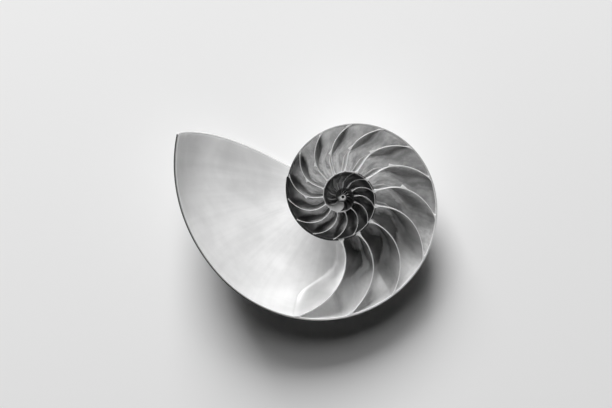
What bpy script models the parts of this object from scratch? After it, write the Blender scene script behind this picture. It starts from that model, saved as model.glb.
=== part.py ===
"""Half of a chambered nautilus shell, sawn along its plane of symmetry.

The half lies on its flank with the sawn face up. It grew as one piece, so it is one solid: an outer
wall coiled in a logarithmic spiral, and the curved septa that divide its inside into gas chambers in
front of which the large body chamber lies open.

The shell is worked out in its own frame first: the coiling pole is the origin, the sawn face is the
plane z = 0, and the shell hangs below it. The growth angle runs clockwise seen from above, and is zero
along +X in the last whorl. A point of a whorl's cross section is given by its share of the whorl's
outer radius: rho along the sawn face, zeta down from it.
"""

import math

import bmesh
import bpy
from mathutils import Matrix, Vector

# The coil, in metres and radians.
RADIUS_EAST = 0.0572
EXPANSION_PER_TURN = 2.90
APERTURE_FLARE = 0.03
FLARE_START = math.radians(150)
APERTURE_ANGLE = math.radians(201)

# The cross section of a whorl, as shares of its outer radius.
FLANK_RHO = 0.44
FLANK_ZETA = 0.362
UMBILICUS_RHO = 0.05
UMBILICUS_ZETA = 0.17
RIDGE_ANGLE = math.radians(162)
UMBILICUS_DEPTH = 0.0130

# The margin of the aperture leads a little at mid flank.
LIP_LEAD = math.radians(5.5)

# Thicknesses, in metres. Each has a fixed part and a part that grows with the whorl's radius.
WALL = 0.0003
WALL_GROWTH = 0.013
SEPTUM = 0.0002
SEPTUM_GROWTH = 0.012
DORSAL_COAT = 0.0002
DORSAL_COAT_GROWTH = 0.012
FILLET = 0.0010
FILLET_REACH = 0.020

# The septa, counted back from the last one, which closes the body chamber.
SEPTUM_COUNT = 37
LAST_SEPTUM = math.radians(86.6)
SEPTUM_STEP = math.radians(24.35)
EARLY_STEP = math.radians(27.5)
STEP_CHANGE = 13
STEP_CHANGE_SPAN = 3

# How far a septum leads its own hindmost point, by place in the cross section.
HIND_RHO = 0.50
VENTER_LEAD = math.radians(23.5)
VENTER_REACH = 0.48
VENTER_POWER = 1.9
DORSAL_LEAD = math.radians(1.5)
DORSAL_SWAY = math.radians(4.0)
DORSAL_SWAY_PHASE = math.radians(95)
LOBE_LEAD = math.radians(4.5)
SADDLE_LEAD = math.radians(25)
SADDLE_START_RHO = 0.45
SADDLE_SPAN_RHO = 0.29
STEEPEST = 2.6

# The small hole in the middle, which the first whorl coils round.
PIERCING_RADIUS = 0.0009
PIERCING_DEPTH = 0.0045
PIERCING_SIDES = 8

# How the half lies: the side of its aperture is raised until its flank rests on the floor.
LEAN = math.radians(10.5)
RAISED_SIDE = math.radians(130.0)

# The fineness of the mesh. The facets of the outside are pushed out by half of what they cut off.
RING_STEP = math.radians(6.667)
OUTLINE_ANGLES = [math.radians(a) for a in (0, 10, 22, 35, 49, 64, 80, 96, 112, 128, 144)]
FACET_GROWTH = 1.003
CHAMBER_SPANS = ((0, 7, 7), (9, 5, 5), (19, 4, 4))
GROWTH_SPANS = 2
BODY_GROWTH_SPANS = 15
CHAMBER_FLANK_END = math.radians(150)
CHAMBER_DORSAL_END = math.radians(125)
CUT_CLEARANCE = 0.0002
PAST_LIP = math.radians(14)

SHARP_ANGLE = math.radians(40)
TURN = 2 * math.pi
GROWTH_RATE = math.log(EXPANSION_PER_TURN) / TURN


def smooth_step(x):
    x = min(1.0, max(0.0, x))
    return x * x * (3 - 2 * x)


def spiral_radius(growth):
    """The outer radius of the whorl at a growth angle."""
    flare = smooth_step((growth - FLARE_START) / (APERTURE_ANGLE - FLARE_START))
    return RADIUS_EAST * math.exp(GROWTH_RATE * growth) * (1 + APERTURE_FLARE * flare)


def outline(angle):
    """The outer outline of a whorl: venter at 0, widest at 90 degrees, umbilicus near 180."""
    if angle <= math.pi / 2:
        return FLANK_RHO + (1 - FLANK_RHO) * math.cos(angle), FLANK_ZETA * math.sin(angle)
    rho = FLANK_RHO + (FLANK_RHO - UMBILICUS_RHO) * math.cos(angle)
    return rho, UMBILICUS_ZETA + (FLANK_ZETA - UMBILICUS_ZETA) * math.sin(angle)


def inner_outline(angle, wall_share):
    """The outline moved inwards, square to itself, by the wall's share of the radius."""
    step = 0.001
    rho_a, zeta_a = outline(max(0.0, angle - step))
    rho_b, zeta_b = outline(angle + step)
    along_rho, along_zeta = rho_b - rho_a, zeta_b - zeta_a
    if angle < step:
        along_rho = 0.0
    length = math.hypot(along_rho, along_zeta)
    rho, zeta = outline(angle)
    return rho - wall_share * along_zeta / length, zeta + wall_share * along_rho / length


def section_point(across, down, growth):
    """A place inside a whorl, in metres from the coiling axis and down from the sawn face.

    across runs from the whorl before, 0, to the outer wall, 1; down runs from the sawn face, 0, to the
    umbilical seam, 1.
    """
    outer = spiral_radius(growth)
    before = spiral_radius(growth - TURN)
    wall_share = WALL / outer + WALL_GROWTH
    rho, zeta = outline(CHAMBER_DORSAL_END * down)
    grown = 1 + DORSAL_COAT_GROWTH + DORSAL_COAT / before
    inside = Vector((rho, zeta)) * before * grown
    outside = Vector(inner_outline(CHAMBER_FLANK_END * down, wall_share)) * outer
    return inside.lerp(outside, across)


def in_space(radius, depth, growth):
    """A point of the shell from its distance to the axis, its depth and its growth angle."""
    return Vector((radius * math.cos(growth), -radius * math.sin(growth), -depth))


def sawn_lead(rho, septum_angle):
    """The lead of a septum's edge on the sawn face."""
    if rho >= HIND_RHO:
        return VENTER_LEAD * ((rho - HIND_RHO) / VENTER_REACH) ** VENTER_POWER
    sway = DORSAL_LEAD + DORSAL_SWAY * math.cos(septum_angle - DORSAL_SWAY_PHASE)
    back = (HIND_RHO - max(rho, 1 / EXPANSION_PER_TURN)) / (HIND_RHO - 1 / EXPANSION_PER_TURN)
    return sway * back * back


def septum_lead(rho, zeta, septum_angle):
    """The lead of a septum anywhere in the cross section: a bowl between its sawn edge and its suture."""
    suture = LOBE_LEAD + (SADDLE_LEAD - LOBE_LEAD) * smooth_step((rho - SADDLE_START_RHO) / SADDLE_SPAN_RHO)
    flank = FLANK_ZETA
    if rho > FLANK_RHO:
        share = min(0.9999, (rho - FLANK_RHO) / (1 - FLANK_RHO))
        flank = FLANK_ZETA * math.sqrt(1 - share * share)
    down = min(1.0, zeta / flank)
    edge = sawn_lead(rho, septum_angle)
    return edge + (suture - edge) * down * down


def septum_angle_of(index):
    """The growth angle of a septum's hindmost point; septum 0 closes the body chamber."""
    angle = LAST_SEPTUM
    for i in range(index):
        early = smooth_step((i + 1 - STEP_CHANGE) / STEP_CHANGE_SPAN)
        angle -= SEPTUM_STEP + (EARLY_STEP - SEPTUM_STEP) * early
    return angle


def septum_face(across, down, index, side):
    """The growth angle of a septum's face, side +1 for its front and -1 for its back."""
    middle = septum_angle_of(index)
    outer = spiral_radius(middle)
    place = section_point(across, down, middle) / outer
    lead = septum_lead(place.x, place.y, middle)
    step = 0.004
    slope_rho = (septum_lead(place.x + step, place.y, middle) - lead) / step * place.x
    slope_zeta = (septum_lead(place.x, place.y + step, middle) - lead) / step * place.x
    tilt = min(STEEPEST, math.sqrt(1 + slope_rho**2 + slope_zeta**2))
    inner_edge = section_point(0, down, middle).x / outer
    fillet = FILLET * (1 - down) ** 2 * math.exp((inner_edge - place.x) / FILLET_REACH) * outer / RADIUS_EAST
    half = (SEPTUM + SEPTUM_GROWTH * outer) / 2 * tilt + fillet
    return middle + lead + side * half / (place.x * outer)


def lip_angle(rho):
    """The growth angle of the aperture's margin."""
    away = (rho - FLANK_RHO) / (1 - FLANK_RHO)
    return APERTURE_ANGLE + LIP_LEAD * max(0.0, 1 - away * away)


def closed_box(mesh, point, across_spans, down_spans, growth_spans):
    """Adds the closed surface of a block of space that point(i, j, k) bends into shape.

    Its squares are split along the same diagonal on both faces of a septum, which keeps them apart.
    """
    made = {}

    def corner(i, j, k):
        if (i, j, k) not in made:
            made[i, j, k] = mesh.verts.new(point(i, j, k))
        return made[i, j, k]

    def side(rows, columns, place):
        for r in range(rows):
            for c in range(columns):
                square = ((r, c), (r, c + 1), (r + 1, c + 1), (r + 1, c))
                first, second, third, fourth = [corner(*place(*at)) for at in square]
                mesh.faces.new((first, second, third))
                mesh.faces.new((first, third, fourth))

    side(across_spans, down_spans, lambda r, c: (r, c, 0))
    side(down_spans, across_spans, lambda r, c: (c, r, growth_spans))
    side(growth_spans, across_spans, lambda r, c: (c, 0, r))
    side(across_spans, growth_spans, lambda r, c: (r, down_spans, c))
    side(down_spans, growth_spans, lambda r, c: (0, r, c))
    side(growth_spans, down_spans, lambda r, c: (across_spans, c, r))


def add_hollow(mesh, back, front, across_spans, down_spans, growth_spans):
    """A hollow between the surfaces back and front, which give a growth angle for (across, down)."""

    def point(i, j, k):
        across = i / across_spans
        down = j / down_spans
        along = k / growth_spans
        growth = back(across, down) * (1 - along) + front(across, down) * along
        place = section_point(across, down, growth)
        depth = place.y if j else -CUT_CLEARANCE
        return in_space(place.x, depth, growth)

    closed_box(mesh, point, across_spans, down_spans, growth_spans)


def spans_of(index):
    """How many spans a chamber's septa have across and down; the small early ones have fewer."""
    return [(across, down) for first, across, down in CHAMBER_SPANS if index >= first][-1]


def hollows_mesh():
    """Every hollow of the shell: the body chamber, the gas chambers behind it and the pierced middle."""
    mesh = bmesh.new()

    def mouth(across, down):
        place = section_point(across, down, APERTURE_ANGLE) / spiral_radius(APERTURE_ANGLE)
        return lip_angle(place.x) + PAST_LIP

    across_spans, down_spans = spans_of(0)
    add_hollow(mesh, lambda s, v: septum_face(s, v, 0, 1), mouth, across_spans, down_spans, BODY_GROWTH_SPANS)
    for index in range(SEPTUM_COUNT - 1):
        across_spans, down_spans = spans_of(index)
        add_hollow(
            mesh,
            lambda s, v, n=index + 1: septum_face(s, v, n, 1),
            lambda s, v, n=index: septum_face(s, v, n, -1),
            across_spans,
            down_spans,
            GROWTH_SPANS,
        )
    bmesh.ops.create_cone(
        mesh,
        cap_ends=True,
        segments=PIERCING_SIDES,
        radius1=PIERCING_RADIUS,
        radius2=PIERCING_RADIUS,
        depth=PIERCING_DEPTH + CUT_CLEARANCE,
        matrix=Matrix.Translation((0, 0, (CUT_CLEARANCE - PIERCING_DEPTH) / 2)),
    )
    bmesh.ops.recalc_face_normals(mesh, faces=mesh.faces)
    return mesh


def envelope_mesh():
    """The whole last turn filled solid, with a flat top at the sawn face."""
    mesh = bmesh.new()
    rings = round(TURN / RING_STEP)
    angles = OUTLINE_ANGLES + [RIDGE_ANGLE]
    grid = []
    for i in range(rings + 1):
        ring = []
        for angle in angles:
            rho, zeta = outline(angle)
            growth = lip_angle(rho) - TURN + TURN * i / rings
            outer = spiral_radius(growth) * FACET_GROWTH
            ring.append(mesh.verts.new(in_space(rho * outer, zeta * outer, growth)))
        rho, zeta = outline(RIDGE_ANGLE)
        outer = spiral_radius(growth)
        depth = zeta * outer * 0.3 + UMBILICUS_DEPTH * 0.7
        ring.append(mesh.verts.new(in_space(rho * outer * 0.55, depth, growth)))
        grid.append(ring)
    apex = mesh.verts.new((0, 0, -UMBILICUS_DEPTH))
    last = len(grid[0]) - 1
    for here, there in zip(grid, grid[1:]):
        for j in range(last):
            mesh.faces.new((here[j], here[j + 1], there[j + 1], there[j]))
        mesh.faces.new((here[last], apex, there[last]))
    start, end = grid[0], grid[-1]
    for j in range(last):
        mesh.faces.new((end[j], end[j + 1], start[j + 1], start[j]))
    mesh.faces.new((end[last], apex, start[last]))
    mesh.faces.new([ring[0] for ring in grid])
    bmesh.ops.recalc_face_normals(mesh, faces=mesh.faces)
    return mesh


def new_object(name, mesh):
    """An object from a mesh: its round faces smooth, its sawn face flat."""
    for face in mesh.faces:
        face.smooth = face.normal.z < 0.999
    data = bpy.data.meshes.new(name)
    mesh.to_mesh(data)
    mesh.free()
    data.set_sharp_from_angle(angle=SHARP_ANGLE)
    made = bpy.data.objects.new(name, data)
    bpy.context.scene.collection.objects.link(made)
    return made


def nacre():
    """Mother of pearl in the greys of the photograph."""
    made = bpy.data.materials.new("nacre")
    made.use_nodes = True
    shader = made.node_tree.nodes["Principled BSDF"]
    shader.inputs["Base Color"].default_value = (0.55, 0.55, 0.55, 1)
    shader.inputs["Roughness"].default_value = 0.35
    shader.inputs["Metallic"].default_value = 0.0
    return made


def resting_place(mesh_data):
    """Where the half lies: leaning on its flank, with the middle of its underside's box at the origin."""
    lean = Matrix.Rotation(LEAN, 4, Vector((math.sin(RAISED_SIDE), -math.cos(RAISED_SIDE), 0)))
    corners = [lean @ vertex.co for vertex in mesh_data.vertices]
    low = Vector([min(corner[axis] for corner in corners) for axis in range(3)])
    high = Vector([max(corner[axis] for corner in corners) for axis in range(3)])
    middle = (low + high) / 2
    return Matrix.Translation((-middle.x, -middle.y, -low.z)) @ lean


def main():
    for old in list(bpy.data.objects):
        bpy.data.objects.remove(old)
    shell = new_object("nautilus_shell_half", envelope_mesh())
    shell.data.materials.append(nacre())
    shell.matrix_world = resting_place(shell.data)
    hollows = new_object("chamber_hollows", hollows_mesh())
    hollows.hide_render = True
    hollows.display_type = "WIRE"
    hollows.parent = shell
    cut = shell.modifiers.new("hollow_out", "BOOLEAN")
    cut.operation = "DIFFERENCE"
    cut.solver = "EXACT"
    cut.object = hollows
    print("pole at", shell.matrix_world.translation[:])


main()
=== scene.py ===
# %% [markdown]
# # A sawn nautilus shell
#
# A nautilus shell sawn in half along its plane of symmetry shows the whole of its growth: a tube coiled
# in a logarithmic spiral, closed off behind the animal by one curved septum after another. The packed
# model holds that shell as one faceted solid. This lesson replaces it with a fine mesh on the same
# coil, whose septa are thinner than the solid's and meet the flank along slightly different lines. It
# gives each layer of the shell its own finish, and lights it as for a product photograph from above.

import math

import bmesh
import bpy
import numpy as np
from mathutils import Matrix, Vector
from mathutils.geometry import delaunay_2d_cdt


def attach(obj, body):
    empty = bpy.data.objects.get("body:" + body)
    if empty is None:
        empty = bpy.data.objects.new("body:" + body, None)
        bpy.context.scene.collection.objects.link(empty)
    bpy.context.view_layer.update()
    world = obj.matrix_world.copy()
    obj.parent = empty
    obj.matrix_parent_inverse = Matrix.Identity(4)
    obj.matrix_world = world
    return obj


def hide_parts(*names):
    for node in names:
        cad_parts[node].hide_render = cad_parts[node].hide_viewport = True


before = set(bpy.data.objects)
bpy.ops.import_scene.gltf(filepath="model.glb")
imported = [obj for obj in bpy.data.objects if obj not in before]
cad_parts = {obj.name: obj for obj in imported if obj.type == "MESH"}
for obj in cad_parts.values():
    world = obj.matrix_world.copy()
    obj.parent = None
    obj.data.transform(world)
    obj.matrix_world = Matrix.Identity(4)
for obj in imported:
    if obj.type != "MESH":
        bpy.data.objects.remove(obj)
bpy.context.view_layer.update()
SHELL_NODE = "nautilus_shell_half"

# %% [markdown]
# ## The coil
#
# The shell widens by the same factor in every turn, so its outline is a logarithmic spiral. Everything
# is worked out in the shell's own frame first: the coiling pole is the origin, the sawn face is the
# plane z = 0 and the shell hangs below it. The growth angle runs clockwise as the camera sees it, and
# is zero along +X in the last whorl. A place in a whorl's cross section is given by its share of the
# whorl's outer radius: rho along the sawn face and zeta down from it.

# %% The spiral and the whorl's outline
MM = 0.001
TURN = 2 * math.pi
RADIUS_EAST = 57.2 * MM
EXPANSION_PER_TURN = 2.90
GROWTH_RATE = math.log(EXPANSION_PER_TURN) / TURN
APERTURE_FLARE = 0.03
FLARE_START = math.radians(150)
APERTURE_ANGLE = math.radians(201)
FLANK_RHO = 0.44
FLANK_ZETA = 0.362
UMBILICUS_RHO = 0.05
UMBILICUS_ZETA = 0.17


def smooth_step(x):
    x = np.clip(x, 0, 1)
    return x * x * (3 - 2 * x)


def spiral_radius(growth):
    """The outer radius of the whorl at a growth angle."""
    flare = smooth_step((growth - FLARE_START) / (APERTURE_ANGLE - FLARE_START))
    return RADIUS_EAST * np.exp(GROWTH_RATE * growth) * (1 + APERTURE_FLARE * flare)


def outline(angle):
    """The outer outline of a whorl: venter at 0, widest at 90 degrees, umbilicus near 180."""
    venter_side = angle <= math.pi / 2
    reach = np.where(venter_side, 1 - FLANK_RHO, FLANK_RHO - UMBILICUS_RHO)
    rho = FLANK_RHO + reach * np.cos(angle)
    floor_zeta = np.where(venter_side, 0, UMBILICUS_ZETA)
    return rho, floor_zeta + (FLANK_ZETA - floor_zeta) * np.sin(angle)


def inner_outline(angle, wall_share):
    """The outline moved inwards, square to itself, by the wall's share of the radius."""
    venter_side = angle <= math.pi / 2
    along_rho = -np.where(venter_side, 1 - FLANK_RHO, FLANK_RHO - UMBILICUS_RHO) * np.sin(angle)
    along_zeta = (FLANK_ZETA - np.where(venter_side, 0, UMBILICUS_ZETA)) * np.cos(angle)
    length = np.hypot(along_rho, along_zeta)
    rho, zeta = outline(angle)
    return rho - wall_share * along_zeta / length, zeta + wall_share * along_rho / length


def in_space(radius, depth, growth):
    """Points of the shell from their distance to the axis, their depth and their growth angle."""
    return np.stack([radius * np.cos(growth), -radius * np.sin(growth), -depth], axis=-1)


quarter_turns = [round(float(spiral_radius(-q * TURN / 4)) / MM, 1) for q in range(5)]
print("radius in mm at each quarter turn back:", quarter_turns)

# %% [markdown]
# ## The hollow between two walls
#
# A chamber lies between the whorl before, whose outside is its inner wall, and the outer wall. Two
# shares place a point in it: across, from the whorl before to the outer wall, and down, from the sawn
# face to the seam where both walls meet at the umbilicus. Mapping a plain grid through these shares
# bends it into the chamber's shape, which keeps every wall at its real thickness.

# %% Places inside a whorl
WALL = 0.3 * MM
WALL_GROWTH = 0.013
DORSAL_COAT = 0.2 * MM
DORSAL_COAT_GROWTH = 0.012
CHAMBER_FLANK_END = math.radians(150)
CHAMBER_DORSAL_END = math.radians(125)


def section_point(across, down, growth):
    """Distance to the axis and depth of a place inside a whorl."""
    outer = spiral_radius(growth)
    before = spiral_radius(growth - TURN)
    inside_rho, inside_zeta = outline(CHAMBER_DORSAL_END * down)
    inside = before * (1 + DORSAL_COAT_GROWTH) + DORSAL_COAT
    outside_rho, outside_zeta = inner_outline(CHAMBER_FLANK_END * down, WALL / outer + WALL_GROWTH)
    radius = inside_rho * inside * (1 - across) + outside_rho * outer * across
    depth = inside_zeta * inside * (1 - across) + outside_zeta * outer * across
    return radius, depth


print("the wall is", round((WALL + WALL_GROWTH * RADIUS_EAST) / MM, 2), "mm thick in the east")

# %% [markdown]
# ## The septa
#
# Each septum is a thin wall of nacre, hollow towards the aperture like a watch glass. On the sawn face
# its edge runs almost straight out from the inner whorl and then sweeps forward to the outer wall. Deep
# in the chamber it sweeps forward sooner, and it meets the walls in a rounded fillet. The builder could
# sculpt one and repeat it, but the coil changes size all the way, so a formula that gives a septum's
# lead, in growth angle, at any place in the cross section fits every one of them.

# %% Where a septum stands
SEPTUM_COUNT = 37
LAST_SEPTUM = math.radians(86.6)
SEPTUM_STEP = math.radians(24.35)
EARLY_STEP = math.radians(27.5)
STEP_CHANGE = 13
STEP_CHANGE_SPAN = 3
HIND_RHO = 0.50
VENTER_LEAD = math.radians(23.5)
VENTER_REACH = 0.48
VENTER_POWER = 1.9
DORSAL_LEAD = math.radians(1.5)
DORSAL_SWAY = math.radians(4.0)
DORSAL_SWAY_PHASE = math.radians(95)
LOBE_LEAD = math.radians(2.5)
SADDLE_LEAD = math.radians(25)
SADDLE_START_RHO = 0.50
SADDLE_SPAN_RHO = 0.29
LATE_SADDLE_SHIFT = 0.07
LATE_SADDLE_FROM = math.radians(62)
STEEPEST = 2.6
ALMOST_ONE = 0.9999


def septum_angle(index):
    """The growth angle of a septum's hindmost point; septum 0 closes the body chamber."""
    steps = [
        SEPTUM_STEP + (EARLY_STEP - SEPTUM_STEP) * float(smooth_step((i - STEP_CHANGE) / STEP_CHANGE_SPAN))
        for i in range(1, index + 1)
    ]
    return LAST_SEPTUM - sum(steps)


def sawn_lead(rho, middle):
    """The lead of a septum's edge on the sawn face."""
    forward = VENTER_LEAD * (np.maximum(rho - HIND_RHO, 0) / VENTER_REACH) ** VENTER_POWER
    sway = DORSAL_LEAD + DORSAL_SWAY * math.cos(middle - DORSAL_SWAY_PHASE)
    inmost = 1 / EXPANSION_PER_TURN
    back = (HIND_RHO - np.clip(rho, inmost, HIND_RHO)) / (HIND_RHO - inmost)
    return forward + sway * back * back


def septum_lead(rho, zeta, middle):
    """The lead of a septum anywhere: a bowl between its sawn edge and its suture with the flank."""
    late = smooth_step((middle - LATE_SADDLE_FROM) / (LAST_SEPTUM - LATE_SADDLE_FROM))
    start = SADDLE_START_RHO + LATE_SADDLE_SHIFT * late
    suture = LOBE_LEAD + (SADDLE_LEAD - LOBE_LEAD) * smooth_step((rho - start) / SADDLE_SPAN_RHO)
    share = np.clip((rho - FLANK_RHO) / (1 - FLANK_RHO), 0, ALMOST_ONE)
    down = np.minimum(1, zeta / (FLANK_ZETA * np.sqrt(1 - share * share)))
    edge = sawn_lead(rho, middle)
    return edge + (suture - edge) * down * down


print("septa in degrees:", [round(math.degrees(septum_angle(i)), 1) for i in range(SEPTUM_COUNT)])

# %% [markdown]
# A septum has thickness, and its foot widens into a fillet along every wall. The fillet is an elliptic
# quarter curve in the distance to the wall, so its surface leaves the wall without a crease. It is
# what draws the bright line along each suture. Some septa also keep a small neck on their back, a stub
# of the tube that once ran through them all.

# %% The two faces of a septum
SEPTUM = 0.12 * MM
SEPTUM_GROWTH = 0.0068
DORSAL_FILLET = (0.022, 0.075)
WALL_FILLET = (0.020, 0.045)
NECK_SEPTA = range(4, 12)
NECK_RHO = 0.67
NECK_WIDTH = 0.022
NECK_LENGTH = 0.045
SLOPE_STEP = 0.004


def fillet(distance, height, reach):
    """The added height at a distance from a wall, for a foot of this height and reach."""
    near = np.clip(1 - distance / reach, 0, 1)
    return height * (1 - np.sqrt(1 - near * near))


def septum_face(across, down, index, side):
    """The growth angle of a septum's face, side +1 for its front and -1 for its back."""
    middle = septum_angle(index)
    outer = spiral_radius(middle)
    radius, depth = section_point(across, down, middle)
    rho, zeta = radius / outer, depth / outer
    lead = septum_lead(rho, zeta, middle)
    slope_rho = (septum_lead(rho + SLOPE_STEP, zeta, middle) - lead) / SLOPE_STEP * rho
    slope_zeta = (septum_lead(rho, zeta + SLOPE_STEP, middle) - lead) / SLOPE_STEP * rho
    tilt = np.minimum(STEEPEST, np.sqrt(1 + slope_rho**2 + slope_zeta**2))
    height = 1 - 1 / EXPANSION_PER_TURN
    foot = fillet(across * height, *DORSAL_FILLET) * (1 - down)
    foot = foot + fillet((1 - across) * height, *WALL_FILLET) + fillet((1 - down) * height, *WALL_FILLET)
    half = (SEPTUM + SEPTUM_GROWTH * outer) / 2 * tilt + foot * outer
    if side < 0 and index in NECK_SEPTA:
        near = np.exp(-(((rho - NECK_RHO) / NECK_WIDTH) ** 2) - (zeta / NECK_WIDTH) ** 2)
        half = half + NECK_LENGTH * outer * near
    return middle + lead + side * half / (rho * outer)


thickness = SEPTUM + SEPTUM_GROWTH * spiral_radius(LAST_SEPTUM)
print("the last septum is", round(float(thickness) / MM, 2), "mm thick")


# %% [markdown]
# ## One mesh from many grids
#
# All surfaces are grids that share their border points, so the finished mesh is closed without any
# Boolean. A small collector keeps the points, what the materials want to know about each point, and
# the faces with the layer of shell that each belongs to.

# %% A collector for points and faces
LAYERS = ("body_nacre", "chamber_nacre", "sawn_shell", "porcelain_shell", "black_film")
POINT_FACTS = ("growth", "rho", "zeta", "past_suture", "tone", "laid", "ahead")
shell = {"points": [], "facts": [], "faces": [], "layers": [], "count": 0}


def add_points(radius, depth, growth, past_suture=1.0, tone=1.0, laid=0.0, ahead=0.0):
    """Stores points and returns their numbers in an array of the same shape."""
    values = (radius, depth, growth, past_suture, tone, laid, ahead)
    radius, depth, growth, past_suture, tone, laid, ahead = np.broadcast_arrays(*values)
    whorl = spiral_radius(growth)
    shell["points"].append(in_space(radius, depth, growth).reshape(-1, 3))
    facts = np.stack([growth, radius / whorl, depth / whorl, past_suture, tone, laid, ahead], axis=-1)
    shell["facts"].append(facts.reshape(-1, len(POINT_FACTS)))
    numbers = np.arange(radius.size).reshape(radius.shape) + shell["count"]
    shell["count"] += radius.size
    return numbers


def add_grid(numbers, layer):
    """Faces over a rectangular array of point numbers; layer is one name or an array of numbers."""
    corners = [numbers[:-1, :-1], numbers[1:, :-1], numbers[1:, 1:], numbers[:-1, 1:]]
    quads = np.stack(corners, axis=-1)
    if isinstance(layer, str):
        layer = np.full(quads.shape[:2], LAYERS.index(layer))
    shell["faces"] += quads.reshape(-1, 4).tolist()
    shell["layers"] += layer.reshape(-1).tolist()


print("facts at each point:", POINT_FACTS)

# %% [markdown]
# ## Tones of the sawn edges
#
# A cut edge looks pale where the shell is thick and clean, and dark where it is thin or stained. That
# changes slowly along the coil, so each kind of edge has a short list of growth angles, in degrees,
# with its paleness from 0 to 1. The lists were set to look like this one shell. Near the lip the outer
# wall's edge is darkened as painted shade, because it lies in shade there.

# %% Paleness by growth angle
SEPTUM_TONES = (
    (-650, 0.1), (-632, 0.8), (-609, 1.0), (-588, 0.4), (-560, 0.2), (-480, 0.15),
    (-425, 0.2), (-395, 0.7), (-300, 0.85), (-200, 1.0),
)
WALL_TONES = (
    (-650, 0.1), (-632, 0.6), (-609, 1.0), (-588, 0.4), (-560, 0.2), (-440, 0.2), (-400, 0.85),
    (-290, 0.6), (-260, 0.25), (-160, 0.25), (-130, 0.6), (-30, 0.7), (0, 1.0),
)
DORSAL_TONES = ((-330, 0.1), (-300, 0.8), (-70, 0.95), (-50, 0.0), (130, 0.0))
# The crust's edge is darkened towards the lip as painted shade.
CRUST_TONES = ((-260, 0.1), (-170, 0.15), (-120, 0.55), (0, 0.6), (20, 0.9), (95, 0.85), (130, 0.1))


def tone_at(growth, tones):
    """The paleness of a sawn edge where the shell had grown by an angle."""
    degrees, values = zip(*tones)
    return np.interp(np.degrees(growth), degrees, values)


print("a septum's edge half a turn back has paleness", tone_at(-TURN / 2, SEPTUM_TONES))

# %% [markdown]
# ## The gas chambers
#
# Each chamber is a bent box without a lid. Its grid is finer towards the walls, where the fillets are.
# The first row under the sawn face makes a tiny chamfer, because a sanded edge is never knife sharp.
# The smallest chambers get fewer faces, and two of them are filled up with shell.

# %% A bent box without a lid
CHAMFER = 0.10 * MM
CHAMFER_LEAST = 0.04 * MM
CHAMFER_GROWTH = 0.002
ALONG_POWER = 1.4


def wall_spacing(count):
    """Shares from 0 to 1, closer together at both ends."""
    return (1 - np.cos(np.pi * np.arange(count + 1) / count)) / 2


def add_hollow(back, front, spans, nacre, laid, mouth=False):
    """Adds a hollow's walls and returns its point numbers by across, down and along."""
    across_spans, down_spans, along_spans = spans
    across = wall_spacing(across_spans)[:, None, None]
    down = np.concatenate([[0], np.sin(np.pi / 2 * np.arange(down_spans) / (down_spans - 1))])[None, :, None]
    along = ((np.arange(along_spans + 1) / along_spans) ** ALONG_POWER)[None, None, :]
    growth = back(across, down) * (1 - along) + front(across, down) * along
    radius, depth = section_point(across, down, growth)
    walked = (growth - back(across, down)) * radius / spiral_radius(growth)
    past_suture = walked - (1 - across) * (1 - 1 / EXPANSION_PER_TURN)
    chamfer = np.clip(spiral_radius(growth) * CHAMFER_GROWTH, CHAMFER_LEAST, CHAMFER)
    depth[:, 1] = chamfer[:, 1]
    depth[:, 0] = 0
    radius[-1, 0] += chamfer[-1, 0]
    radius[0, 0] -= chamfer[0, 0]
    growth[:, 0, 0] -= (chamfer / radius)[:, 0, 0]
    if not mouth:
        growth[:, 0, -1] += (chamfer / radius)[:, 0, -1]
    tone = np.where(across == 1, tone_at(growth, WALL_TONES), tone_at(growth, SEPTUM_TONES))
    tone = np.where(across == 0, tone_at(growth, DORSAL_TONES), tone)
    numbers = add_points(radius, depth, growth, past_suture, tone, laid, along)
    layer = np.full((down_spans, along_spans), LAYERS.index(nacre))
    layer[0] = LAYERS.index("sawn_shell")
    add_grid(numbers[-1], layer)
    add_grid(numbers[0], layer)
    add_grid(numbers[:, -1], nacre)
    ends = [0] if mouth else [0, -1]
    for end in ends:
        layer = np.full((across_spans, down_spans), LAYERS.index(nacre))
        layer[:, 0] = LAYERS.index("sawn_shell")
        add_grid(numbers[:, :, end], layer)
    return numbers


def rim_of(numbers):
    """The border of a hollow in the sawn face, as a closed loop."""
    rim = numbers[:, 0]
    return np.concatenate([rim[:-1, 0], rim[-1, :-1], rim[:0:-1, -1], rim[0, :0:-1]])


print("chamfer from", CHAMFER_LEAST / MM, "to", CHAMFER / MM, "mm")

# %% All gas chambers
# The spans of a chamber's grid are counted across, down and along.
FINE, MIDDLE, EARLY = (48, 28, 12), (24, 18, 8), (12, 10, 5)
MIDDLE_FROM, EARLY_FROM = 12, 22
FILLED_CHAMBERS = (26, 27)
rims = []
for index in range(SEPTUM_COUNT - 1):
    if index in FILLED_CHAMBERS:
        continue
    spans = FINE if index < MIDDLE_FROM else MIDDLE if index < EARLY_FROM else EARLY
    chamber = add_hollow(
        lambda s, v: septum_face(s, v, index + 1, 1),
        lambda s, v: septum_face(s, v, index, -1),
        spans,
        "chamber_nacre",
        septum_angle(index + 1),
    )
    rims.append(rim_of(chamber))
print("chambers", len(rims), "points so far", shell["count"])

# %% [markdown]
# ## The body chamber and its lip
#
# The animal lived in the last third of a turn. Its chamber is one more bent box, open in front at the
# lip. The lip leads a little at mid flank and falls back at the venter.

# %% Body chamber
LIP_LEAD = math.radians(5.5)
BODY_SPANS = (24, 30, 80)
LIP_INSET = 0.5 * MM
LIP_LEAST_RADIUS = 5 * MM


def lip_angle(rho):
    """The growth angle of the aperture's margin."""
    away = (rho - FLANK_RHO) / (1 - FLANK_RHO)
    return APERTURE_ANGLE + LIP_LEAD * np.maximum(0, 1 - away * away)


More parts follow.
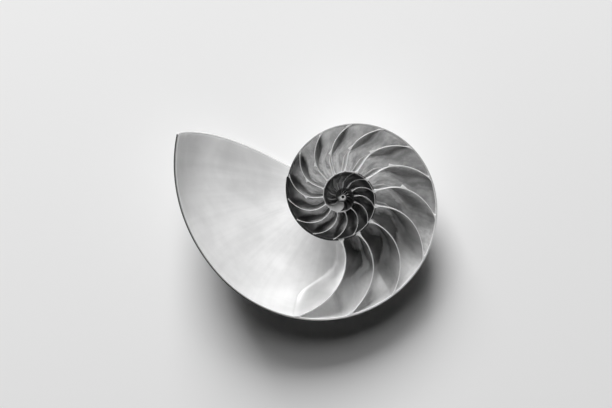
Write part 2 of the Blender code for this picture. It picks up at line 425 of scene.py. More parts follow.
def mouth_face(across, down):
    """The growth angle of the body chamber's mouth, a little inside the rounded lip."""
    radius, _ = section_point(across, down, APERTURE_ANGLE)
    own_whorl = lip_angle(radius / spiral_radius(APERTURE_ANGLE))
    whorl_before = lip_angle(radius / spiral_radius(APERTURE_ANGLE - TURN))
    lead = whorl_before * (1 - across) + own_whorl * across
    return lead - LIP_INSET / np.maximum(radius, LIP_LEAST_RADIUS)


body = add_hollow(
    lambda s, v: septum_face(s, v, 0, 1),
    mouth_face,
    BODY_SPANS,
    "body_nacre",
    LAST_SEPTUM,
    mouth=True,
)
print("body chamber points", body.size)

# %% [markdown]
# ## The outside
#
# The outside is the last full turn of the tube's outer surface, from the lip back to where the same lip
# covers the whorl before. At the umbilicus the whorls' inner ends sink under a low pad of callus, so
# the grid runs on from the last ridge to a single point on the axis.

# %% Outer surface
RINGS = 240
RIDGE_ANGLE = math.radians(162)
UMBILICUS_DEPTH = 13.0 * MM
RIDGE_SPANS = 4


def outside_ring(turned):
    """Distance, depth and growth along one ring, from the venter to the axis. turned goes from 0 to 1."""
    across_spans, down_spans, _ = BODY_SPANS
    down = np.sin(np.pi / 2 * np.arange(down_spans) / (down_spans - 1))
    end = CHAMBER_DORSAL_END + (CHAMBER_FLANK_END - CHAMBER_DORSAL_END) * turned
    to_ridge = end + (RIDGE_ANGLE - end) * np.arange(1, RIDGE_SPANS + 1) / RIDGE_SPANS
    angle = np.concatenate([[0], end * down, to_ridge])
    rho, zeta = outline(angle)
    growth = lip_angle(rho) - TURN + TURN * turned
    whorl = spiral_radius(growth)
    radius, depth = rho * whorl, zeta * whorl
    depth[1] = CHAMFER
    radius[0] -= CHAMFER
    callus_spans = across_spans // 2 - RIDGE_SPANS
    inward = np.arange(1, callus_spans + 1) / callus_spans
    callus_depth = UMBILICUS_DEPTH + (depth[-1] - UMBILICUS_DEPTH) * (1 - inward) ** 2
    radius = np.concatenate([radius, radius[-1] * (1 - inward)])
    depth = np.concatenate([depth, callus_depth])
    growth = np.concatenate([growth, np.full(callus_spans, growth[-1])])
    return radius, depth, growth


ring_parts = [outside_ring(i / RINGS) for i in range(RINGS + 1)]
ring_radius, ring_depth, ring_growth = [np.array([part[n] for part in ring_parts]) for n in range(3)]
outside = add_points(ring_radius, ring_depth, ring_growth, tone=tone_at(ring_growth, CRUST_TONES))
apex = outside[0, -1]
outside[:, -1] = apex
layer = np.full((RINGS, outside.shape[1] - 1), LAYERS.index("porcelain_shell"))
layer[:, 0] = LAYERS.index("sawn_shell")
add_grid(outside[:, :-1], layer[:, :-1])
for here, there in zip(outside[:-1, -2], outside[1:, -2]):
    shell["faces"].append([int(here), int(there), int(apex)])
    shell["layers"].append(LAYERS.index("porcelain_shell"))
print("outside points", outside.size)

# %% [markdown]
# The lip joins the body chamber's mouth to the outside with a rounded edge. Both borders have the same
# number of points, in the same order: down the outer wall, along the umbilicus, and up the whorl before.

# %% The rounded lip
LIP_ROWS = 6
LIP_ROUND_MOST = 0.8 * MM
LIP_LEAST_REACH = 2 * MM

inner_border = np.concatenate([body[-1, :, -1], body[-2:0:-1, -1, -1], body[0, ::-1, -1]])
outer_border = np.concatenate([outside[-1], outside[0, -2::-1]])
all_points = np.concatenate(shell["points"])
inner_at, outer_at = all_points[inner_border], all_points[outer_border]
gap = np.linalg.norm(outer_at - inner_at, axis=1)
lip = [inner_border]
for row in range(1, LIP_ROWS):
    turn = math.pi * row / LIP_ROWS
    at = inner_at + (outer_at - inner_at) * (1 - math.cos(turn)) / 2
    reach = np.hypot(at[:, 0], at[:, 1])
    forward = np.minimum(gap / 2, LIP_ROUND_MOST) * math.sin(turn)
    growth = np.arctan2(-at[:, 1], at[:, 0]) % TURN + forward / np.maximum(reach, LIP_LEAST_REACH)
    lip.append(add_points(reach, -at[:, 2], growth))
lip.append(outer_border)
lip = np.array(lip)
add_grid(lip, "porcelain_shell")
print("lip points", lip.size)

# %% [markdown]
# ## The sawn face
#
# The saw left one flat face: every wall and septum cut through, with the chambers as holes in it. Its
# border is already there, as the first row of every grid, so a constrained triangulation fills it in
# and shares every point. The small hole in the middle, which the first whorl coils round, is one more
# hole in the face.

# %% Sawn face
outer_loop = np.concatenate(
    [outside[:, 0], lip[-2:0:-1, 0], body[-1, 0, ::-1], body[-2::-1, 0, 0], body[0, 0, 1:], lip[1:-1, -1]]
)
PIERCING_RADIUS = 0.9 * MM
PIERCING_DEPTH = 4.5 * MM
PIERCING_SIDES = 24
PIERCING_TAPER = 0.8
around = np.arange(PIERCING_SIDES) * TURN / PIERCING_SIDES
piercing_rows = [
    (PIERCING_RADIUS + CHAMFER_LEAST, 0),
    (PIERCING_RADIUS, CHAMFER_LEAST),
    (PIERCING_RADIUS * PIERCING_TAPER, PIERCING_DEPTH),
]
piercing = np.array([add_points(radius, depth, around) for radius, depth in piercing_rows])
# The hole's dark lining is painted shade.
add_grid(np.concatenate([piercing, piercing[:, :1]], axis=1), "black_film")
shell["faces"].append(piercing[-1].tolist())
shell["layers"].append(LAYERS.index("black_film"))
loops = [outer_loop, *rims, piercing[0]]
all_points = np.concatenate(shell["points"])
rim_numbers = np.concatenate(loops)
edges = []
start = 0
for loop in loops:
    count = len(loop)
    edges += [(start + i, start + (i + 1) % count) for i in range(count)]
    start += count
INSIDE_THE_BORDER = 1
SAME_POINT = 1e-7
flat = all_points[rim_numbers, :2] / MM
flat_points = [Vector(point) for point in flat]
found, sources = delaunay_2d_cdt(flat_points, edges, [], INSIDE_THE_BORDER, SAME_POINT)[2:4]
found = np.array(found)
order = np.array([source[0] for source in sources])


def inside_loop(places, corners):
    """Which places lie inside a closed loop of corners, by the count of its edges to their right."""
    x, y = places[:, :1], places[:, 1:]
    (x0, y0), (x1, y1) = corners.T, np.roll(corners, -1, axis=0).T
    spans = (y0 > y) != (y1 > y)
    with np.errstate(divide="ignore", invalid="ignore"):
        right = x < x0 + (y - y0) * (x1 - x0) / (y1 - y0)
    return (spans & right).sum(axis=1) % 2 == 1


middles = flat[order[found]].mean(axis=1)
in_a_hole = np.any([inside_loop(middles, all_points[loop, :2] / MM) for loop in loops[1:]], axis=0)
sawn = rim_numbers[order[found[~in_a_hole]]]
shell["faces"] += sawn.tolist()
shell["layers"] += [LAYERS.index("sawn_shell")] * len(sawn)
print("sawn face triangles", len(sawn))

# %% [markdown]
# ## The finished mesh, laid down as it rests
#
# A half shell doesn't lie level: its flank is deepest under the body chamber, so the side of the
# aperture rides high. The lean and the pole's place are the solid's own, so both lie in one place.

# %% One object
LEAN = math.radians(10.5)
RAISED_SIDE = math.radians(130)
POLE_PLACE = Vector((21.5025, 15.5307, 31.8864)) * MM
SHARP_ANGLE = math.radians(32)
CM3 = 1e-6

lean_axis = Vector((math.sin(RAISED_SIDE), -math.cos(RAISED_SIDE), 0))
as_it_lies = Matrix.Translation(POLE_PLACE) @ Matrix.Rotation(LEAN, 4, lean_axis)


def shell_object():
    """The collected grids as one object in the row frame."""
    points = np.concatenate(shell["points"])
    facts = np.concatenate(shell["facts"])
    used = np.unique(np.concatenate([np.array(face) for face in shell["faces"]]))
    renumbered = np.full(len(points), -1)
    renumbered[used] = np.arange(len(used))
    data = bpy.data.meshes.new("nautilus_shell")
    faces = [[int(renumbered[n]) for n in face] for face in shell["faces"]]
    data.from_pydata(points[used].tolist(), [], faces)
    data.polygons.foreach_set("material_index", shell["layers"])
    for column, name in enumerate(POINT_FACTS):
        data.attributes.new(name, "FLOAT", "POINT").data.foreach_set("value", facts[used, column])
    tidy = bmesh.new()
    tidy.from_mesh(data)
    bmesh.ops.recalc_face_normals(tidy, faces=tidy.faces)
    open_edges = sum(not edge.is_manifold for edge in tidy.edges)
    print("faces", len(tidy.faces), "edges that aren't shared by two faces", open_edges)
    print("volume in cm3", round(tidy.calc_volume() / CM3, 2))
    tidy.to_mesh(data)
    tidy.free()
    data.shade_smooth()
    data.set_sharp_from_angle(angle=SHARP_ANGLE)
    data.transform(as_it_lies)
    made = bpy.data.objects.new("nautilus_shell", data)
    bpy.context.scene.collection.objects.link(made)
    return made


half_shell = shell_object()
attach(half_shell, "root")
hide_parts(SHELL_NODE)

# %% [markdown]
# ## Materials
#
# The shell is nearly all aragonite, a chalky mineral that the animal laid down in two ways: nacre on the
# inside and a porcelain-like layer of grains on the outside. A picture could be laid over the mesh, but
# it would hold one light only and blur up close. Each finish here is worked out from the facts that the
# points carry, so it follows the shell's growth. Colours are sRGB hex codes, which one function turns to
# linear values, and one function adds every node.

# %% Colours and nodes
ATTRIBUTE = "ShaderNodeAttribute"
COMBINE = "ShaderNodeCombineXYZ"
MAP_RANGE = "ShaderNodeMapRange"
MATH = "ShaderNodeMath"
MIX = "ShaderNodeMix"
NOISE = "ShaderNodeTexNoise"
RAMP = "ShaderNodeValToRGB"

ADD = {"operation": "ADD"}
MULTIPLY = {"operation": "MULTIPLY"}
SUBTRACT = {"operation": "SUBTRACT"}
SMOOTH = {"interpolation_type": "SMOOTHSTEP"}
TINT = {"data_type": "RGBA", "blend_type": "MULTIPLY", 0: 1.0}
BLEND = {"data_type": "RGBA"}

# A mix node has inputs and outputs of the same name for each type, so its colours go by number.
FIRST, SECOND, MIXED = 6, 7, 2


def linear(code):
    """An sRGB hex colour as linear values."""
    values = [int(code[i : i + 2], 16) / 255 for i in (0, 2, 4)]
    return [v / 12.92 if v <= 0.04045 else ((v + 0.055) / 1.055) ** 2.4 for v in values] + [1.0]


def add_node(tree, kind, settings, output=0):
    """Adds a node and returns one of its outputs.

    A setting is a property, an input's value, an output to link to that input, or a ramp's colour stops.
    """
    node = tree.nodes.new(kind)
    for name, value in settings.items():
        if name == "stops":
            elements = node.color_ramp.elements
            for _ in value[2:]:
                elements.new(0.5)
            for element, (place, code) in zip(elements, value):
                element.position = place
                element.color = linear(code)
        elif isinstance(value, bpy.types.NodeSocket):
            tree.links.new(value, node.inputs[name])
        elif isinstance(name, str) and hasattr(node, name):
            setattr(node, name, value)
        else:
            node.inputs[name].default_value = value
    return node.outputs[output]


def stops_between(lowest, highest, stops):
    """Colour stops whose places are values from lowest to highest, as shares of that range."""
    return [((place - lowest) / (highest - lowest), code) for place, code in stops]


print("mid grey 808080 is", [round(value, 3) for value in linear("808080")[:3]], "in linear values")

# %% [markdown]
# Growth leaves its marks along and across the whorl, so the noise that stands for them runs over the
# growth angle and the two shares of the cross section. Its patches are given in millimetres where the
# whorl's radius is that of the coil's east side, and shrink with the whorl as the real marks do.

# %% Noise that follows the growth
NOISE_ROUGHNESS = 0.55


def noise_over(tree, axes, detail=3.0):
    """Noise over values that are each paired with the length of a patch."""
    scaled = [add_node(tree, MATH, {**MULTIPLY, 0: value, 1: RADIUS_EAST / size}) for value, size in axes]
    place = add_node(tree, COMBINE, dict(zip("XYZ", scaled)))
    settings = {"Vector": place, "Scale": 1.0, "Detail": detail, "Roughness": NOISE_ROUGHNESS}
    return add_node(tree, NOISE, settings)


def shell_noise(tree, at, along, out, detail=3.0):
    """Noise in patches of one length along the whorl and another out from the axis."""
    return noise_over(tree, ((at["growth"], along), (at["rho"], out), (at["zeta"], out)), detail)


def new_material(name, colour, roughness, ior=1.53, see_through=0.0, reach=5.0 * MM, lustre=None):
    """A material whose colour is a hex code or a function of the node tree and the point facts."""
    made = bpy.data.materials.new(name)
    made.use_nodes = True
    tree = made.node_tree
    shader = tree.nodes["Principled BSDF"]
    shader.inputs["Roughness"].default_value = roughness
    shader.inputs["IOR"].default_value = ior
    shader.inputs["Subsurface Weight"].default_value = see_through
    shader.inputs["Subsurface Radius"].default_value = (1, 1, 1)
    shader.inputs["Subsurface Scale"].default_value = reach
    if isinstance(colour, str):
        shader.inputs["Base Color"].default_value = linear(colour)
    else:
        at = {fact: add_node(tree, ATTRIBUTE, {"attribute_name": fact}, "Fac") for fact in POINT_FACTS}
        tree.links.new(colour(tree, at), shader.inputs["Base Color"])
        if lustre:
            tree.links.new(lustre(tree, at), shader.inputs["Metallic"])
    print(name, "has", len(tree.nodes), "nodes")
    return made


print("a patch of 5.2 mm fits", round(RADIUS_EAST / (5.2 * MM), 1), "times into a radian of growth")

# %% [markdown]
# ### Nacre of the gas chambers
#
# Nacre is mother of pearl: flat aragonite plates, a hundredth of a millimetre wide, in stacks. The
# animal laid it down behind itself as it grew, and it comes out smooth. Light sinks in and comes back
# between the plates, which gives the eye a soft glow with a silvery gloss on top. The plates are far too
# fine to show, so only the patches where they lean alike, and so gleam alike, are drawn, about 5 mm long,
# as painted sheen. The old chambers in the middle are duller, and each one's tone follows the growth angle
# at which its back septum was laid. The last chambers lie deep in shade, and their tones are raised as
# painted light to make up for it.

# %% The tone of each chamber
ANGLE_RANGE = (-720, 220)
# The tones of the last chambers are raised as painted light, to make up for the deep shade in them.
CHAMBER_TONES = (
    (-720, "1c1c1c"),
    (-650, "303030"),
    (-630, "909090"),
    (-560, "909090"),
    (-480, "646464"),
    (-420, "686868"),
    (-330, "989898"),
    (-280, "b0b0b0"),
    (-255, "acacac"),
    (-206, "a0a0a0"),
    (-157, "b4b4b4"),
    (-60, "cccccc"),
    (-11, "dcdcdc"),
    (14, "ececec"),
    (38, "f8f8f8"),
    (62, "fafafa"),
)


def chamber_tone(tree, at):
    """The tone of a whole chamber, from the angle in degrees at which it was laid."""
    lowest, highest = [math.radians(angle) for angle in ANGLE_RANGE]
    share = add_node(tree, MAP_RANGE, {"Value": at["laid"], "From Min": lowest, "From Max": highest})
    return add_node(tree, RAMP, {"Fac": share, "stops": stops_between(*ANGLE_RANGE, CHAMBER_TONES)})


print("tones from", CHAMBER_TONES[0], "to", CHAMBER_TONES[-1])

# %% [markdown]
# Where a septum's foot meets the wall, the nacre is thickened and folded, and each chamber shows the same
# pattern of light and shade again: a lobe, a saddle and a petal beside the suture, and a trough. That
# light and shade could come from modelled shape, but one view from above doesn't give its depth, so it is
# painted into the colour instead, as painted light and shade, and stays put when the light moves. It
# follows the distance past the suture, as a share of the whorl's radius: below 0 lies the septum's own
# face, and above 0 the wall in front of it.

# %% The painted light and shade beside the sutures
PAST_RANGE = (-0.5, 0.5)
# Painted light and shade: the light and dark of the lobes, saddles, petals and troughs.
RELIEF_SHADE_STOPS = {
    "lobe": (
        (-0.42, "ffffff"), (-0.28, "f0f0f0"), (-0.10, "949494"), (-0.05, "ffffff"),
        (0.025, "ffffff"), (0.07, "787878"), (0.15, "a8a8a8"), (0.25, "f0f0f0"),
    ),
    "saddle": ((-0.30, "ffffff"), (-0.20, "d8d8d8"), (-0.07, "a8a8a8"), (0.0, "d8d8d8"), (0.1, "f8f8f8")),
    "last": ((-0.30, "f0f0f0"), (-0.04, "ffffff"), (0.0, "ffffff"), (0.05, "e4e4e4"), (0.1, "ffffff")),
    "petal": (
        (-0.04, "ffffff"), (-0.005, "9c9c9c"), (0.03, "ffffff"), (0.085, "ffffff"),
        (0.115, "b4b4b4"), (0.15, "ececec"),
    ),
    "trough": (
        (-0.25, "ffffff"), (-0.12, "f0f0f0"), (-0.06, "c8c8c8"), (-0.01, "949494"),
        (0.03, "949494"), (0.08, "d8d8d8"), (0.13, "f0f0f0"), (0.25, "dcdcdc"),
    ),
}
# Each passage goes from 0 to 1 between two values of a fact: shares of the radius, or angles in radians.
PASSAGES = {
    "into_bulge": ("rho", 0.50, 0.64),
    "out_of_bulge": ("rho", 0.80, 0.66),
    "onto_saddle": ("rho", 0.70, 0.80),
    "last_chamber": ("laid", 0.8, 1.0),
    "its_outer_part": ("rho", 0.66, 0.80),
    "off_petal": ("rho", 0.52, 0.68),
    "near_outer_wall": ("rho", 0.68, 0.86),
    "late_chamber": ("laid", -0.55, 0.15),
    "film_begins": ("growth", -2.1, -2.5),
    "film_reaches_in": ("rho", 0.72, 0.90),
    "marks_fade": ("laid", -0.3, 0.3),
    "front_end": ("ahead", 0.985, 0.999),
}
BULGE_FORWARD = 0.02
BULGE_WITH_GROWTH = 0.165
TROUGH_SHIFT = {"From Min": -1.4, "From Max": -2.9, "To Max": 0.10}
WALL_FRONT = {"From Min": -0.03, "From Max": 0.05}
WALL_SHADE = 0.55


def drawing(tree, at, past):
    """The painted light and shade beside the sutures, with the passages that place it."""
    passed = {
        name: add_node(tree, MAP_RANGE, {**SMOOTH, "Value": at[fact], "From Min": start, "From Max": end})
        for name, (fact, start, end) in PASSAGES.items()
    }
    bulge = add_node(tree, MATH, {**MULTIPLY, 0: passed["into_bulge"], 1: passed["out_of_bulge"]})
    grown = add_node(tree, MATH, {**MULTIPLY, 0: at["laid"], 1: BULGE_WITH_GROWTH})
    bow = add_node(tree, MATH, {**ADD, 0: BULGE_FORWARD, 1: grown})
    bowed = add_node(tree, MATH, {**MULTIPLY, 0: bulge, 1: bow})
    from_lobe = add_node(tree, MATH, {**ADD, 0: past, 1: bowed})
    shift = add_node(tree, MAP_RANGE, {**SMOOTH, "Value": at["laid"], **TROUGH_SHIFT})
    from_trough = add_node(tree, MATH, {**ADD, 0: past, 1: shift})
    drawn = {}
    for name, stops in RELIEF_SHADE_STOPS.items():
        value = {"lobe": from_lobe, "trough": from_trough}.get(name, past)
        lowest, highest = PAST_RANGE
        share = add_node(tree, MAP_RANGE, {"Value": value, "From Min": lowest, "From Max": highest})
        drawn[name] = add_node(tree, RAMP, {"Fac": share, "stops": stops_between(*PAST_RANGE, stops)})
    in_last = add_node(tree, MATH, {**MULTIPLY, 0: passed["last_chamber"], 1: passed["its_outer_part"]})
    late = add_node(
        tree, MIX, {**BLEND, 0: passed["onto_saddle"], FIRST: drawn["lobe"], SECOND: drawn["saddle"]}, MIXED
    )
    late = add_node(tree, MIX, {**BLEND, 0: in_last, FIRST: late, SECOND: drawn["last"]}, MIXED)
    early = add_node(
        tree, MIX, {**BLEND, 0: passed["off_petal"], FIRST: drawn["petal"], SECOND: drawn["trough"]}, MIXED
    )
    in_front = add_node(tree, MAP_RANGE, {**SMOOTH, "Value": from_trough, **WALL_FRONT})
    on_wall = add_node(tree, MATH, {**MULTIPLY, 0: passed["near_outer_wall"], 1: in_front})
    wall_shade = add_node(tree, MAP_RANGE, {**SMOOTH, "Value": on_wall, "To Min": 1.0, "To Max": WALL_SHADE})
    early = add_node(tree, MIX, {**TINT, FIRST: early, SECOND: wall_shade}, MIXED)
    relief_shading = add_node(tree, MIX, {**BLEND, 0: passed["late_chamber"], FIRST: early, SECOND: late}, MIXED)
    return relief_shading, passed


print("passages", len(PASSAGES), "drawings", list(RELIEF_SHADE_STOPS))

# %% [markdown]
# Over that painted light and shade lie blotches, which are painted sheen, and streaks, strong in the old
# chambers and faint in the late ones. The chambers behind the black film are darkened as painted shade,
# because less light comes through the wall there. The step by which a chamber's angle moves the streaks
# isn't a real size: it keeps chambers from matching.

# %% The nacre of the gas chambers
WOBBLE_PATCH = (6.36 * MM, 7.15 * MM)
WOBBLE = {"From Min": 0.3, "From Max": 0.7, "To Min": -0.02, "To Max": 0.02}
# The blotches are painted sheen: patches of nacre that gleam alike.
BLOTCH_PATCH = (5.2 * MM, 6.36 * MM)
BLOTCH = {"From Min": 0.38, "From Max": 0.62, "To Min": 0.80, "To Max": 1.12}
STREAK_SPACING = 1.68 * MM
STREAK_LENGTH = 19.1 * MM
CHAMBER_STEP = 8.17 * MM
STREAK = {"From Min": 0.3, "From Max": 0.7, "To Min": 0.80, "To Max": 1.14}
FAINT = {"From Min": 0.6, "From Max": 1.3, "To Min": 0.92, "To Max": 1.05}
FILM_SHADE = 0.10
# The back of a septum is hidden from above. It is painted nearly white as painted light,
# since the wall behind it mirrors it.
BACK_OF_SEPTUM = "fafafa"


def chamber_marks(tree, at, past, fade):
    """Blotches of painted sheen and streaks, as a factor that comes close to 1 in the late chambers."""
    blotched = add_node(tree, MAP_RANGE, {**SMOOTH, "Value": shell_noise(tree, at, *BLOTCH_PATCH), **BLOTCH})
    axes = ((past, STREAK_SPACING), (at["rho"], STREAK_LENGTH), (at["laid"], CHAMBER_STEP))
    streaked = add_node(tree, MAP_RANGE, {**SMOOTH, "Value": noise_over(tree, axes), **STREAK})
    marks = add_node(tree, MATH, {**MULTIPLY, 0: blotched, 1: streaked})
    faint = add_node(tree, MAP_RANGE, {**SMOOTH, "Value": marks, **FAINT})
    kept = add_node(tree, MATH, {**SUBTRACT, 0: 1.0, 1: fade})
    strong_part = add_node(tree, MATH, {**MULTIPLY, 0: marks, 1: kept})
    faint_part = add_node(tree, MATH, {**MULTIPLY, 0: faint, 1: fade})
    return add_node(tree, MATH, {**ADD, 0: strong_part, 1: faint_part})


def chamber_colour(tree, at):
    """The colour of a gas chamber's walls, with painted light and shade."""
    wobble = add_node(tree, MAP_RANGE, {**SMOOTH, "Value": shell_noise(tree, at, *WOBBLE_PATCH), **WOBBLE})
    past = add_node(tree, MATH, {**ADD, 0: at["past_suture"], 1: wobble})
    relief_shading, passed = drawing(tree, at, past)
    behind_film = add_node(tree, MATH, {**MULTIPLY, 0: passed["film_begins"], 1: passed["film_reaches_in"]})
    shade = add_node(tree, MAP_RANGE, {**SMOOTH, "Value": behind_film, "To Min": 1.0, "To Max": FILM_SHADE})
    marks = chamber_marks(tree, at, past, passed["marks_fade"])
    shade = add_node(tree, MATH, {**MULTIPLY, 0: shade, 1: marks})
    # Tone times the painted light and shade by the sutures, then the painted film shade and the marks.
    seen = add_node(tree, MIX, {**TINT, FIRST: chamber_tone(tree, at), SECOND: relief_shading}, MIXED)
    seen = add_node(tree, MIX, {**TINT, FIRST: seen, SECOND: shade}, MIXED)
    # The hidden back of each septum takes the nearly white painted light.
    back = {**BLEND, 0: passed["front_end"], FIRST: seen, SECOND: linear(BACK_OF_SEPTUM)}
    return add_node(tree, MIX, back, MIXED)


print("streaks across a whole radius", round(RADIUS_EAST / STREAK_SPACING))

# %% [markdown]
# The gloss of fresh nacre mirrors its surroundings almost like metal, because every plate reflects a
# little. It shows in the late chambers and is gone in the old ones. Metallic stands for it here, raised
# with the angle at which the chamber was laid. Aragonite bends light by 1.53 to 1.68, so 1.6 is between.

# %% Lustre
LUSTRE = {"From Min": -0.9, "From Max": 0.9, "To Max": 0.6}


def chamber_lustre(tree, at):
    """How much the nacre of a chamber mirrors."""
    return add_node(tree, MAP_RANGE, {**SMOOTH, "Value": at["laid"], **LUSTRE})


NACRE_IOR = 1.6
SHELL_IOR = 1.53
chamber_nacre = new_material("chamber_nacre", chamber_colour, 0.38, NACRE_IOR, 0.8, 7.0 * MM, chamber_lustre)

# %% [markdown]
# ### Nacre of the body chamber
#
# The animal's own chamber has the youngest nacre, as its mantle laid it down. It has no septa, so it
# shows one even sheen with faint clouds, and soft streaks that run out from the axis along its growth
# lines; streaks and clouds are partly painted sheen. Its tones are painted light and shade: it is darker
# towards the outer wall in its back part, where the light falls full on it, and lighter there near the
# lip, where less light falls, and the last septum's face is darker towards the venter, where its
# highlight is strongest.

# %% Body chamber's nacre
RHO_RANGE = (0.3, 1.0)
# Painted light and shade: back part darker outwards, lip side lighter, last septum darker outwards.
BODY_STOPS = {
    "back": ((0.4, "fcfcfc"), (0.5, "ececec"), (0.68, "e4e4e4"), (0.85, "d4d4d4"), (0.97, "c4c4c4")),
    "front": ((0.45, "d4d4d4"), (0.68, "e4e4e4"), (0.78, "f8f8f8"), (0.97, "fcfcfc")),
    "septum": ((0.5, "fafafa"), (0.65, "f0f0f0"), (0.8, "a0a0a0")),
}
TO_FRONT = {"From Min": 2.4, "From Max": 3.3}
OFF_SEPTUM = {"From Min": -0.03, "From Max": 0.02}
# The streaks follow the growth lines; streaks and clouds are partly painted sheen.
SHEEN_PATCH = (4.09 * MM, 38.1 * MM)
SHEEN = {"From Min": 0.3, "From Max": 0.7, "To Min": 0.95, "To Max": 1.02}
CLOUD_PATCH = (14.3 * MM, 8.17 * MM)
CLOUD = {"From Min": 0.3, "From Max": 0.7, "To Min": 0.93, "To Max": 1.05}


def body_colour(tree, at):
    """The colour of the body chamber's walls and of the last septum's face."""
    lowest, highest = RHO_RANGE
    share = add_node(tree, MAP_RANGE, {"Value": at["rho"], "From Min": lowest, "From Max": highest})
    tones = {
        name: add_node(tree, RAMP, {"Fac": share, "stops": stops_between(*RHO_RANGE, stops)})
        for name, stops in BODY_STOPS.items()
    }
    to_front = add_node(tree, MAP_RANGE, {**SMOOTH, "Value": at["growth"], **TO_FRONT})
    off_septum = add_node(tree, MAP_RANGE, {**SMOOTH, "Value": at["past_suture"], **OFF_SEPTUM})
    walls = add_node(tree, MIX, {**BLEND, 0: to_front, FIRST: tones["back"], SECOND: tones["front"]}, MIXED)
    colour = add_node(tree, MIX, {**BLEND, 0: off_septum, FIRST: tones["septum"], SECOND: walls}, MIXED)
    sheen = add_node(tree, MAP_RANGE, {**SMOOTH, "Value": shell_noise(tree, at, *SHEEN_PATCH), **SHEEN})
    cloud = add_node(tree, MAP_RANGE, {**SMOOTH, "Value": shell_noise(tree, at, *CLOUD_PATCH), **CLOUD})
    marks = add_node(tree, MATH, {**MULTIPLY, 0: sheen, 1: cloud})
    return add_node(tree, MIX, {**TINT, FIRST: colour, SECOND: marks}, MIXED)


body_nacre = new_material("body_nacre", body_colour, 0.35, NACRE_IOR, 0.8, 2.0 * MM)

# %% [markdown]
# ### Sawn and sanded shell
#
# Shell halves are usually sawn with a thin hard blade and sanded on fine grit, which leaves the cut edge
# matt and chalky. The grit's scratches are a few hundredths of a millimetre wide, too fine to show, so
# roughness stands for them. Its tone comes with the points, from the lists of edge tones.

# %% Sawn shell
SAWN_STOPS = ((0.0, "101010"), (0.35, "404040"), (0.6, "a8a8a8"), (1.0, "f0f0f0"))


def sawn_colour(tree, at):
    """The colour of a cut edge, from dark stain to clean shell."""
    return add_node(tree, RAMP, {"Fac": at["tone"], "stops": SAWN_STOPS})


sawn_shell = new_material("sawn_shell", sawn_colour, 0.45, SHELL_IOR, 0.2)

# %% [markdown]
# ### Porcelain outside
#
# The outer layer is aragonite grains, as the shell grew and with no finish on it, smooth like glazed
# porcelain. Soft flames of pigment cross the old whorl, and growth lines run beside each former lip,
# 0.4 mm apart, which shows only close up. A thin black film, which the animal lays on the old whorl,
# covers it where it enters the mouth. None of this can be read from a view of the sawn face, so it
# follows what is usual for the kind. Towards the lip the outside is darker, as painted shade, since its
# edge shows from above in shade. The small hole in the middle is given a dark lining like the film, as
# painted shade.

# %% Porcelain and black film
FLAME_PATCH = (8.17 * MM, 22.9 * MM)
FLAME_DETAIL = 4.0
FLAME_EDGE = {"From Min": 0.50, "From Max": 0.56}
OLD_WHORL = {"From Min": 1.3, "From Max": 0.2}
OFF_UMBILICUS = {"From Min": 0.35, "From Max": 0.6}
TO_LIP = {"From Min": 1.5, "From Max": 2.6}
# The outside turns darker towards the lip as painted shade.
PORCELAIN, PORCELAIN_SHADED_AT_LIP, FLAME = "dcdcdc", "b4b4b4", "747474"
LINE_PATCH = (0.381 * MM, 28.6 * MM)
LINE = {"From Min": 0.3, "From Max": 0.7, "To Min": 0.9, "To Max": 1.03}
UNDER_FILM = {"From Min": -2.1, "From Max": -2.4}
FILM = "1c1c1c"


def outside_colour(tree, at):
    """The colour of the outside, with flames, growth lines and the film's dark cover."""
    noise = shell_noise(tree, at, *FLAME_PATCH, FLAME_DETAIL)
    flames = add_node(tree, MAP_RANGE, {**SMOOTH, "Value": noise, **FLAME_EDGE})
    old = add_node(tree, MAP_RANGE, {**SMOOTH, "Value": at["growth"], **OLD_WHORL})
    outer = add_node(tree, MAP_RANGE, {**SMOOTH, "Value": at["rho"], **OFF_UMBILICUS})
    to_lip = add_node(tree, MAP_RANGE, {**SMOOTH, "Value": at["growth"], **TO_LIP})
    under_film = add_node(tree, MAP_RANGE, {**SMOOTH, "Value": at["growth"], **UNDER_FILM})
    lines = add_node(tree, MAP_RANGE, {**SMOOTH, "Value": shell_noise(tree, at, *LINE_PATCH), **LINE})
    on_old_whorl = add_node(tree, MATH, {**MULTIPLY, 0: old, 1: outer})
    flamed = add_node(tree, MATH, {**MULTIPLY, 0: flames, 1: on_old_whorl})
    pale = {**BLEND, 0: to_lip, FIRST: linear(PORCELAIN), SECOND: linear(PORCELAIN_SHADED_AT_LIP)}
    pale = add_node(tree, MIX, pale, MIXED)
    ground = add_node(tree, MIX, {**BLEND, 0: flamed, FIRST: pale, SECOND: linear(FLAME)}, MIXED)
    lined = add_node(tree, MIX, {**TINT, FIRST: ground, SECOND: lines}, MIXED)
    return add_node(tree, MIX, {**BLEND, 0: under_film, FIRST: lined, SECOND: linear(FILM)}, MIXED)


porcelain_shell = new_material("porcelain_shell", outside_colour, 0.3, SHELL_IOR, 0.8)
# The hole's dark lining is painted shade, like the black film in colour.
black_film = new_material("black_film", "303030", 0.4)
for layer_material in (body_nacre, chamber_nacre, sawn_shell, porcelain_shell, black_film):
    half_shell.data.materials.append(layer_material)
print("layers", [slot.name for slot in half_shell.material_slots])

# %% [markdown]
# ## Floor
#
# The shell lies on plain matt white paper. Paper is pressed fibre with no gloss, so it is rough and has
# one colour. Its fibres are too fine to show. The sheet is far wider than the picture taken from above.

# %% Floor
FLOOR_SIZE = 6.0


def floor():
    """A sheet of matt white paper under the shell."""
    half = FLOOR_SIZE / 2
    data = bpy.data.meshes.new("floor")
    corners = [(-half, -half, 0), (half, -half, 0), (half, half, 0), (-half, half, 0)]
    data.from_pydata(corners, [], [(0, 1, 2, 3)])
    made = bpy.data.objects.new("floor", data)
    bpy.context.scene.collection.objects.link(made)
    data.materials.append(new_material("matt_white_paper", "ececec", 0.9))
    return made


floor()

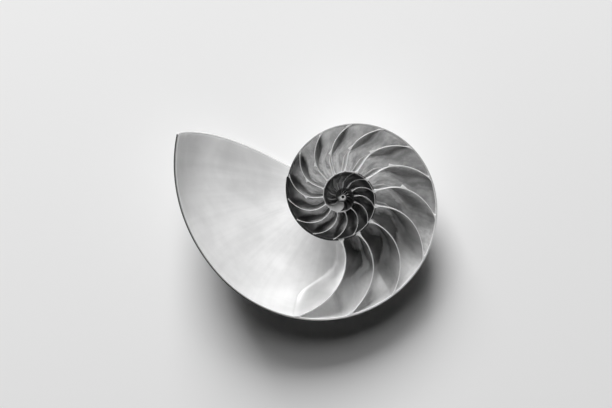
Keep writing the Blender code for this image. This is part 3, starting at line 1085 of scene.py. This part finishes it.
# %% [markdown]
# ## Light
#
# The shadow falls below the shell and is soft, so the main light is a large soft box, low beyond its
# top. A second one, higher and weaker, reaches into the chambers. Both stand far away, which keeps the
# paper evenly lit. The room adds almost nothing. The Standard view keeps whites as bright as they are
# lit, where a filmic one would grey them.

# %% Light
LIGHT_DISTANCE = 4.4
SOFT_BOXES = {
    "key_soft_box": (103, 26, (2.5, 1.85), 340),
    "upper_soft_box": (104, 50, (2.6, 1.6), 46),
}
ROOM_STRENGTH = 0.005


def soft_box(name, azimuth, elevation, size, watts):
    """A rectangular soft box that looks at the shell. Azimuth 0 is the picture's right, 90 its top."""
    data = bpy.data.lights.new(name, "AREA")
    data.shape = "RECTANGLE"
    data.size, data.size_y = size
    data.energy = watts
    lamp = bpy.data.objects.new(name, data)
    a, e = math.radians(azimuth), math.radians(elevation)
    away = Vector((math.cos(a) * math.cos(e), math.sin(a) * math.cos(e), math.sin(e)))
    lamp.location = away * LIGHT_DISTANCE
    lamp.rotation_euler = (-away).to_track_quat("-Z", "Y").to_euler()
    bpy.context.scene.collection.objects.link(lamp)
    print(name, watts, "W at", [round(value, 2) for value in lamp.location])


for name, placed in SOFT_BOXES.items():
    soft_box(name, *placed)
world = bpy.data.worlds.new("studio")
world.use_nodes = True
world.node_tree.nodes["Background"].inputs["Color"].default_value = (1, 1, 1, 1)
world.node_tree.nodes["Background"].inputs["Strength"].default_value = ROOM_STRENGTH
bpy.context.scene.world = world
bpy.context.scene.view_settings.view_transform = "Standard"

# %% [markdown]
# ## Camera
#
# The camera looks straight down. It hangs 0.9 m above the sawn face with a long lens, so the deep parts
# of the shell hardly shift against its edge. The coiling pole and the coil's east radius each have a
# known place in the picture, and from these two the lens and the camera's place follow.

# %% Camera
IMAGE_SIZE = (612, 408)
POLE_PIXEL = (342.9, 197.05)
PIXELS_EAST = 95.0
CAMERA_HEIGHT = 0.9
SENSOR_WIDTH = 36.0
NEAREST, FARTHEST = 0.01, 20


def camera():
    """A camera straight above the shell that puts the coiling pole on its pixel."""
    metres_per_pixel = RADIUS_EAST / PIXELS_EAST
    data = bpy.data.cameras.new("camera")
    data.sensor_width = SENSOR_WIDTH
    data.lens = SENSOR_WIDTH * CAMERA_HEIGHT / (IMAGE_SIZE[0] * metres_per_pixel)
    data.clip_start, data.clip_end = NEAREST, FARTHEST
    made = bpy.data.objects.new("camera", data)
    right = (IMAGE_SIZE[0] / 2 - POLE_PIXEL[0]) * metres_per_pixel
    up = (POLE_PIXEL[1] - IMAGE_SIZE[1] / 2) * metres_per_pixel
    made.location = POLE_PLACE + Vector((right, up, CAMERA_HEIGHT))
    bpy.context.scene.collection.objects.link(made)
    bpy.context.scene.camera = made
    print("camera lens", round(data.lens, 1), "at", made.location[:])


camera()
